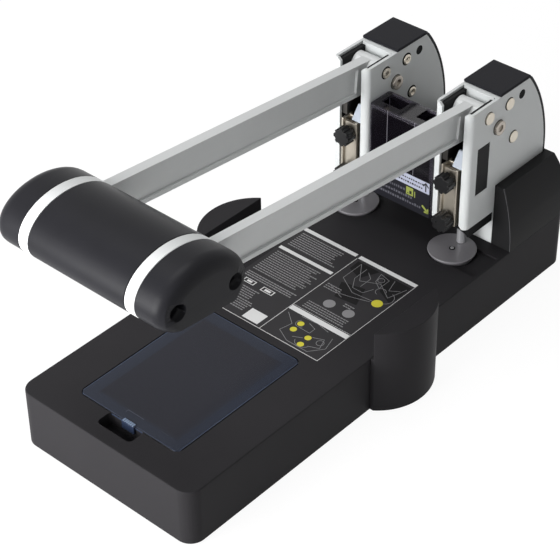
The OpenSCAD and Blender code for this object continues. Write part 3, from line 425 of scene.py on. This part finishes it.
# ---- storage lid ----------------------------------------------------------------------------
# The tray's lid is a clear smoke-blue moulding that lies flush with the top. A springy latch
# hangs down at its front, and it turns on two short steel pins at its rear.

def near_edges(material, low, high, stops):
    """Colours a material by the distance to the nearest edge of a box. Of a point's distances to
    the box's three pairs of sides, the middle one is max(min(a, b), min(max(a, b), c)), and on a
    side that is the way to the nearest edge. Each stop is a distance in metres and a colour."""
    nodes, links = material.node_tree.nodes, material.node_tree.links
    place = nodes.new("ShaderNodeTexCoord")
    parts = nodes.new("ShaderNodeSeparateXYZ")
    links.new(place.outputs["Object"], parts.inputs[0])

    def reckon(operation, first, second=None):
        """The outcome of one sum on two values, each of them a number or another sum's outcome."""
        step = nodes.new("ShaderNodeMath")
        step.operation = operation
        for socket, value in zip(step.inputs, (first, second)):
            if isinstance(value, float):
                socket.default_value = value
            elif value is not None:
                links.new(value, socket)
        return step.outputs[0]

    gaps = []
    for axis in range(3):
        middle, half = (low[axis] + high[axis]) / 2, (high[axis] - low[axis]) / 2
        off = reckon("ABSOLUTE", reckon("SUBTRACT", parts.outputs[axis], middle))
        gaps.append(reckon("SUBTRACT", half, off))
    a, b, c = gaps
    way = reckon("MAXIMUM", reckon("MINIMUM", a, b),
                 reckon("MINIMUM", reckon("MAXIMUM", a, b), c))
    reach = stops[-1][0]
    ramp = nodes.new("ShaderNodeValToRGB")
    links.new(reckon("DIVIDE", way, reach), ramp.inputs[0])
    for index, (distance, colour) in enumerate(stops):
        stop = ramp.color_ramp.elements[index] if index < 2 else ramp.color_ramp.elements.new(1.0)
        stop.position, stop.color = distance / reach, colour
    links.new(ramp.outputs[0], nodes["Principled BSDF"].inputs["Base Color"])


lid_low, lid_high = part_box("storage_lid")
lid_smoke = surface("lid_smoke", shade(46, 50, 64), shade(49, 53, 68), 0.2, transmission=0.3,
                    patch=0.05, specular=0.08)
# The lid's colour by distance from its edges: dark at the very edge, a painted shade of the gap
# round it; a thin pale blue line of painted highlight 0.5 to 0.8 mm in; then bluer out to 7.5 mm
# and greyer by 10 mm.
near_edges(lid_smoke, lid_low, lid_high, (
    (0.0, shade(10, 10, 12)), (0.35 * MM, shade(10, 10, 12)), (0.5 * MM, shade(68, 78, 100)),
    (0.8 * MM, shade(68, 78, 100)), (1.0 * MM, shade(45, 51, 66)), (7.5 * MM, shade(43, 48, 62)),
    (10.0 * MM, shade(38, 39, 49))))
dressed("storage_lid", lid_smoke, "lid_smoke", body="storage_lid", edge=0.4 * MM)
lid_rib = surface("lid_rib", shade(54, 58, 70), shade(60, 64, 76), 0.3)
rib_lines = [bar(-7.0, -251.2, 5.7, -250.95), bar(-7.0, -253.2, -6.75, -251.2)]
add_piece("lid_rib_lines", prisms(rib_lines, lid_high.z, lid_high.z + PRINT_H), lid_rib,
          "storage_lid", "lid_smoke")
latch_blue = surface("latch_blue", shade(44, 54, 76), shade(50, 60, 82), 0.2,
                     transmission=0.3, specular=0.2)
dressed("lid_latch", latch_blue, "latch_blue", body="storage_lid", edge=0.4 * MM)
latch_low, latch_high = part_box("lid_latch")
latch_middle = (latch_low.x + latch_high.x) / 2 / MM
latch_front = (latch_low.y - HOLE_Y) / MM
RIBS, RIB_PITCH, RIB_W, RIB_H = 6, 1.5, 1.1, 0.25 * MM
RIB_START, RIB_END = 0.3, 2.6
rib_bars = []
for k in range(RIBS):
    x = latch_middle + (k - (RIBS - 1) / 2) * RIB_PITCH
    rib_bars.append(bar(x - RIB_W / 2, latch_front + RIB_START,
                        x + RIB_W / 2, latch_front + RIB_END))
# The ribs on the latch's top are real; their pale colour is a painted highlight.
latch_rib_highlight = surface("latch_rib_highlight", shade(118, 136, 162), shade(128, 146, 172), 0.3)
add_piece("latch_ribs", prisms(rib_bars, latch_high.z, latch_high.z + RIB_H), latch_rib_highlight,
          "storage_lid", "latch_blue")
dressed("lid_hinge_pins", zinc, "screw_steel", body="storage_lid", edge=0.1 * MM)


# ---- side wings -----------------------------------------------------------------------------
# Two round-faced black mouldings stand on the base's sides. Their upper edges rise over the top
# and line up a stack of paper.

for side in ("left", "right"):
    dressed(side + "_wing", base_black, "body_black", edge=0.6 * MM, segments=3)


# ---- rear housing ---------------------------------------------------------------------------
# One black moulding closes the rear between and beside the heads. Its sides and its back lean
# in with a slight bow. A thin pale rod along each front outer edge is a painted highlight.

housing_black = surface("housing_black", shade(36, 36, 37), shade(41, 41, 42), 0.4, grain=0.2,
                        specular=0.05)
dressed("rear_housing", housing_black, "housing_black", edge=0.7 * MM, segments=3)


def rod_along(name, path, radius, n=8):
    """A thin closed rod along a path that lies in a plane of constant y. With the path's direction
    t and u = (0, 1, 0), the ring round each point p is p + r (cos a u + sin a (t x u))."""
    path = np.asarray(path, float)
    ahead = np.gradient(path, axis=0)
    ahead /= np.linalg.norm(ahead, axis=1, keepdims=True)
    across = np.array([0.0, 1.0, 0.0])
    turn = np.arange(n) * 2 * np.pi / n
    rings = path[:, None] + radius * (np.cos(turn)[None, :, None] * across + np.sin(turn)[
        None, :, None] * np.cross(ahead, across)[:, None])
    index = np.arange(len(path) * n).reshape(-1, n)
    after = np.roll(index, -1, axis=1)
    faces = np.stack([index[:-1], after[:-1], after[1:], index[1:]], axis=-1).reshape(-1, 4)
    mesh = bpy.data.meshes.new(name)
    mesh.from_pydata(rings.reshape(-1, 3).tolist(), [],
                     faces.tolist() + [index[0][::-1].tolist(), index[-1].tolist()])
    smoothed(mesh, 50.0)
    return mesh


EDGE_IN, EDGE_R = 0.3 * MM, 0.36 * MM
# A thin pale rod along each front outer edge of the housing: a painted highlight.
painted_edge_highlight = surface("painted_edge_highlight", shade(98, 98, 101), shade(108, 108, 111), 0.3)
front_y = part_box("rear_housing")[0].y
housing_edge_highlight = {}
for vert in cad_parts["rear_housing"].data.vertices:
    if vert.co.y < front_y + EDGE_IN:
        level = round(vert.co.z, 5)
        housing_edge_highlight[level] = max(housing_edge_highlight.get(level, 0.0), vert.co.x)
for side, sign in (("left", -1), ("right", 1)):
    path = [(sign * (x - EDGE_R), front_y + EDGE_IN, z) for z, x in sorted(housing_edge_highlight.items())]
    add_piece(side + "_housing_edge_highlight", rod_along("housing_edge_highlight", path[::sign], EDGE_R), painted_edge_highlight,
              "punch_body", "housing_black")


# ---- head frames ----------------------------------------------------------------------------
# Each head is a folded steel plate, painted light grey. Black plastic liners lie inside it, and
# a web joins its sides at the top and the back.

head_paint = surface("head_paint", shade(218, 221, 221), shade(224, 227, 227), 0.42, grain=0.12,
                     grain_size=0.0009, specular=0.35)
liner_black = surface("liner_black", shade(28, 28, 29), shade(34, 34, 35), 0.5, grain=0.2,
                      specular=0.08)
for side in ("left", "right"):
    dressed(side + "_head_frame", head_paint, "steel_paint", edge=0.45 * MM, segments=3)
    dressed(side + "_head_liner", liner_black, "liner_black", edge=0.25 * MM)


# ---- caps and covers ------------------------------------------------------------------------
# A black plastic cap is pressed over each head's rear top, and a strip of the same plastic runs
# down its round back.

cap_black = surface("cap_black", shade(32, 32, 36), shade(37, 37, 41), 0.42, grain=0.5,
                    grain_size=0.0005, specular=0.06)
for side in ("left", "right"):
    dressed(side + "_top_cap", cap_black, "cap_black", edge=0.8 * MM, segments=3)
    dressed(side + "_back_cover", cap_black, "cap_black", edge=0.3 * MM)


# ---- guides and shelf -----------------------------------------------------------------------
# A black plastic block under each head guides its rod. The shelf between the heads is of the
# same plastic and carries the chip box.

guide_black = surface("guide_black", shade(24, 24, 25), shade(30, 30, 31), 0.5, grain=0.2,
                      specular=0.06)
for node in ("left_rod_guide", "right_rod_guide", "chip_shelf"):
    dressed(node, guide_black, "guide_black", edge=0.3 * MM)


# ---- bolts and rivets -----------------------------------------------------------------------
# Each head is held together by a nickel-plated socket bolt with its nut and sleeve, by rivets,
# and by the pin that the lever turns on. A thin dark ring of painted shade lies round each.

nickel = surface("nickel", shade(150, 143, 134), shade(176, 169, 160), 0.28, metal=1.0,
                 patch=0.004)
champagne = surface("champagne", shade(196, 188, 174), shade(212, 204, 190), 0.34, metal=0.85,
                    patch=0.004)
dressed("head_bolts", nickel, "bolt_nickel", edge=0.35 * MM, segments=3)
dressed("head_nuts", nickel, "bolt_nickel", edge=0.3 * MM)
dressed("bolt_spacers", zinc, "screw_steel", edge=0.0)
dressed("head_rivets", champagne, "rivet_nickel", edge=0.7 * MM, segments=4)
dressed("lever_pins", champagne, "rivet_nickel", edge=0.7 * MM, segments=4)


def islands(node):
    """The lowest and highest corner of each loose part of a CAD node's mesh, in order of place."""
    cad = bmesh.new()
    cad.from_mesh(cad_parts[node].data)
    bmesh.ops.remove_doubles(cad, verts=cad.verts, dist=WELD)
    left, found = set(cad.verts), []
    while left:
        waiting, points = [left.pop()], []
        while waiting:
            vert = waiting.pop()
            points.append(np.array(vert.co))
            for link in vert.link_edges:
                other = link.other_vert(vert)
                if other in left:
                    left.remove(other)
                    waiting.append(other)
        found.append((np.min(points, axis=0), np.max(points, axis=0)))
    cad.free()
    return sorted(found, key=lambda corners: tuple(corners[0]))


def on_side(mesh, x, facing):
    """Stands a flat mesh up on a plane of constant x: its own x becomes y, or -y on a face to the
    left, its y becomes z, and its height points out of the face."""
    mesh.transform(Matrix(((0, 0, facing, x), (facing, 0, 0, 0), (0, 1, 0, 0), (0, 0, 0, 1))))
    return mesh


# Thin dark rings of painted shade on both faces of each plate round its bolt, rivets and pin, and
# one more disc of painted shade of radius SPARE_R on each face.
painted_shade = surface("painted_shade", shade(16, 16, 17), shade(22, 22, 23), 0.6, specular=0.05)
SHADE_RIM = 0.35 * MM
SPARE_R = 3.1 * MM
spare_y, spare_z = HOLE_Y + 35.0 * MM, 142.4 * MM
for side in ("left", "right"):
    plate_low, plate_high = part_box(side + "_head_frame")
    for face, x, facing in (("outer", plate_high.x, 1), ("inner", plate_low.x, -1)):
        marks = [ring(facing * spare_y, spare_z, SPARE_R)]
        for node in ("head_bolts", "head_rivets", "lever_pins"):
            for low, high in islands(node):
                if plate_low.x < (low[0] + high[0]) / 2 < plate_high.x:
                    y, z = (low[1:] + high[1:]) / 2
                    marks.append(ring(facing * y, z, (high[2] - low[2]) / 2 + SHADE_RIM))
        add_piece(f"{side}_{face}_shade_rings", on_side(prisms(marks, 0.0, PRINT_H), x, facing),
                  painted_shade, "punch_body", "liner_black")


# ---- rod boards -----------------------------------------------------------------------------
# Round grey plastic pads lie in seats of the base under the rods. Each turns on a short pin, to
# bring a fresh place under the rod.

board_grey = surface("board_grey", shade(126, 124, 128), shade(136, 134, 138), 0.3, grain=0.15)
for side in ("left", "right"):
    dressed(side + "_rod_board", board_grey, "board_grey", body=side + "_rod_board",
            edge=0.5 * MM, segments=3)
dressed("board_pins", zinc, "screw_steel", edge=0.15 * MM)
# Each board pin gets a pale head whose colour is a painted highlight, in a dark ring of painted
# shade.
pin_highlight = surface("pin_highlight", shade(168, 168, 171), shade(180, 180, 183), 0.3)
HOLE_X, PIN_Y = 40.0, -9.3
PIN_SHADE_R, PIN_HEAD_R = 1.9, 1.2
PIN_HEAD_H, PIN_SUNK = 0.3 * MM, 0.6 * MM
for side, sign in (("left", -1), ("right", 1)):
    board_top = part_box(side + "_rod_board")[1].z
    shade_disc, head_disc = (disc(sign * HOLE_X, PIN_Y, r) for r in (PIN_SHADE_R, PIN_HEAD_R))
    add_piece(side + "_pin_shade_ring", prisms([shade_disc], board_top - PIN_SUNK, board_top + PRINT_H),
              painted_shade, "punch_body", "screw_steel")
    add_piece(side + "_pin_head", prisms([head_disc], board_top - PIN_SUNK,
              board_top + PIN_HEAD_H), pin_highlight, "punch_body", "screw_steel")


# ---- chip box -------------------------------------------------------------------------------
# A clear smoke-coloured box between the heads catches the chips, which fall in through two
# ports in its cover.

box_low, box_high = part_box("chip_box")[0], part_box("chip_box_cover")[1]
box_smoke = surface("box_smoke", shade(74, 68, 82), shade(78, 72, 86), 0.1,
                    transmission=0.86, patch=0.05, specular=0.3)
# The box is paler within 1.5 mm of each edge, with a bright line at 1.7 mm: a painted reflection
# and highlight along its rounded edges. Further in it is darker.
near_edges(box_smoke, box_low, box_high, (
    (0.0, shade(150, 146, 160)), (0.4 * MM, shade(140, 136, 150)),
    (0.6 * MM, shade(120, 114, 130)), (1.5 * MM, shade(125, 119, 135)),
    (1.7 * MM, shade(170, 166, 182)), (1.9 * MM, shade(64, 58, 71)),
    (3.0 * MM, shade(54, 49, 60))))
dressed("chip_box", box_smoke, "box_smoke", body="chip_box", edge=0.3 * MM)
dressed("chip_box_cover", box_smoke, "box_smoke", body="chip_box", edge=0.3 * MM)


def on_front(mesh, y):
    """Stands a flat mesh up on a plane of constant y that faces the front: its y becomes z."""
    mesh.transform(Matrix(((1, 0, 0, 0), (0, 0, -1, y), (0, 1, 0, 0), (0, 0, 0, 1))))
    return mesh


def slip(x0, z0, x1, z1):
    """A rectangle on the box's front, in millimetres across and above the table."""
    return bar(x0, z0, x1, z1, base=0.0)


def tilted(x0, z0, x1, z1, w):
    """A slanted stroke on the box's front, in millimetres across and above the table."""
    return stroke(x0, z0, x1, z1, w, base=0.0)


def stuck(name, shapes, layer, ink):
    """A layer of the box's label, or of its painted highlight lines: flat shapes, each layer a
    little higher than the last.
    """
    add_piece(name, on_front(prisms(shapes, 0.0, layer * PRINT_H), box_low.y), ink, "chip_box",
              "box_smoke")


label_dark = surface("label_dark", shade(30, 30, 36), shade(34, 34, 40), 0.3, specular=0.3)
label_pale = surface("label_pale", shade(176, 180, 198), shade(184, 188, 205), 0.4)
label_grey = surface("label_grey", shade(84, 84, 92), shade(94, 94, 102), 0.4)
label_green = surface("label_green", shade(142, 152, 70), shade(154, 164, 80), 0.4)
front_line_highlight = surface("front_line_highlight", shade(112, 110, 118), shade(122, 120, 128), 0.3)
large_rows = ((75.4, -17.5, 4.5), (71.2, -19.0, 11.0), (67.2, -17.0, 16.5))
glyphs = [slip(x0, z - 1.0, x1, z + rng.uniform(0.3, 1.1))
          for z, left, right in large_rows for x0, x1 in words(left, right, 0.8, 1.8, 0.7)]
fine = [slip(x0, z - 0.6, x1, z + rng.uniform(0.3, 0.7))
        for z in (85.2, 82.2) for x0, x1 in words(-15.0, 18.5, 0.7, 1.6, 0.6)]
arrow_up = [slip(20.9, 80.6, 21.9, 86.0), tilted(19.2, 84.4, 21.6, 87.2, 1.0),
            tilted(23.6, 84.4, 21.2, 87.2, 1.0)]
arrow_down = [tilted(19.0, 69.4, 23.2, 65.9, 1.5), tilted(20.6, 65.2, 23.9, 65.2, 1.1),
              tilted(23.6, 68.4, 23.6, 65.0, 1.1)]
green_square = [slip(6.0, 72.6, 11.6, 78.4), slip(12.6, 72.4, 13.2, 77.0)]
square_marks = [slip(8.6, 73.6, 10.4, 76.0), slip(7.0, 73.4, 7.9, 74.2)]
# Two thin grey lines on the box's front are a painted highlight on edges seen through its wall.
front_highlight_lines = [slip(-10.9, 88.6, -10.5, 127.5), slip(10.5, 88.6, 10.9, 127.5)]
stuck("box_label", [slip(-20.5, 61.8, 24.6, 88.4)], 1.0, label_dark)
stuck("box_label_band", [slip(-17.0, 79.6, 24.2, 88.0)], 1.5, label_pale)
stuck("box_label_marks", fine + arrow_up, 2.0, label_dark)
stuck("box_label_glyphs", glyphs, 1.5, label_grey)
stuck("box_label_green", green_square + arrow_down, 1.5, label_green)
stuck("box_label_square_marks", square_marks, 2.0, label_dark)
stuck("box_front_ribs", front_highlight_lines, 2.0, front_line_highlight)


# ---- arms -----------------------------------------------------------------------------------
# Two alloy arms with a flanged section, painted light grey, join the grip to the hubs in the
# heads. Each hub turns in a bronze bush, and a steel pin in each arm drives its ram.

arm_paint = surface("arm_paint", shade(216, 218, 218), shade(222, 224, 224), 0.4, grain=0.12,
                    grain_size=0.0009, specular=0.35)
for side in ("left", "right"):
    dressed(side + "_arm", arm_paint, "lever_paint", body="lever", edge=0.4 * MM, segments=3)
bronze = surface("bronze", shade(150, 120, 76), shade(166, 134, 88), 0.35, metal=1.0)
dressed("hub_bushes", bronze, "bush_bronze", body="lever", edge=0.1 * MM)
dressed("drive_pins", zinc, "screw_steel", body="lever", edge=0.1 * MM)


# ---- grip -----------------------------------------------------------------------------------
# A wide grip of D-shaped section, moulded in charcoal plastic: an upper and a lower shell
# between the arms, and a rounded cap outside each arm. Two steel rods tie it together.

grip_charcoal = surface("grip_charcoal", shade(30, 30, 33), shade(34, 34, 38), 0.34, grain=0.3,
                        grain_size=0.0005, specular=0.1)
for node in ("grip_upper_shell", "grip_lower_shell"):
    dressed(node, grip_charcoal, "grip_charcoal", body="lever", edge=0.4 * MM)
for node in ("left_grip_cap", "right_grip_cap"):
    dressed(node, grip_charcoal, "grip_charcoal", body="lever", edge=0.0, angle=42.0)
dressed("grip_tie_rods", zinc, "screw_steel", body="lever", edge=0.1 * MM)
# The grip's screws sit deep in their holes; their dark colour is painted shade of the holes.
screws_painted_dark = surface("screws_painted_dark", shade(40, 40, 42), shade(48, 48, 50), 0.4, metal=0.8)
dressed("grip_screws", screws_painted_dark, "screw_steel", body="lever", edge=0.2 * MM)


# ---- rams -----------------------------------------------------------------------------------
# A dark steel block slides in each head. A nickel-plated holder on its front clamps the hollow
# rod, and a pale chute over it throws the chips into the box.

ram_steel = surface("ram_steel", shade(74, 72, 70), shade(92, 90, 87), 0.4, metal=1.0)
rod_steel = surface("rod_steel", shade(206, 207, 210), shade(220, 221, 224), 0.3, metal=0.75,
                    patch=0.004)
chute_clear = surface("chute_clear", shade(214, 224, 238), shade(222, 231, 243), 0.25,
                      transmission=0.35)
for side in ("left", "right"):
    body = side + "_ram"
    dressed(side + "_ram_block", ram_steel, "ram_steel", body=body, edge=0.3 * MM)
    dressed(side + "_holder", champagne, "holder_nickel", body=body, edge=0.3 * MM)
    dressed(side + "_clamp_plate", champagne, "holder_nickel", body=body, edge=0.25 * MM)
    dressed(side + "_rod", rod_steel, "rod_steel", body=body, edge=0.15 * MM)
    dressed(side + "_chip_chute", chute_clear, "chute_clear", body=body, edge=0.3 * MM)


# ---- clamp knobs ----------------------------------------------------------------------------
# Fluted knobs of black plastic clamp each rod, two on a holder. Each is moulded in one piece
# and turns on a short stud.

knob_black = surface("knob_black", shade(26, 26, 27), shade(34, 34, 35), 0.28, grain=0.3,
                     specular=0.3)
for side in ("left", "right"):
    for place in ("upper", "lower"):
        name = f"{side}_{place}_knob"
        dressed(name, knob_black, "knob_black", body=name, edge=0.4 * MM, segments=3)
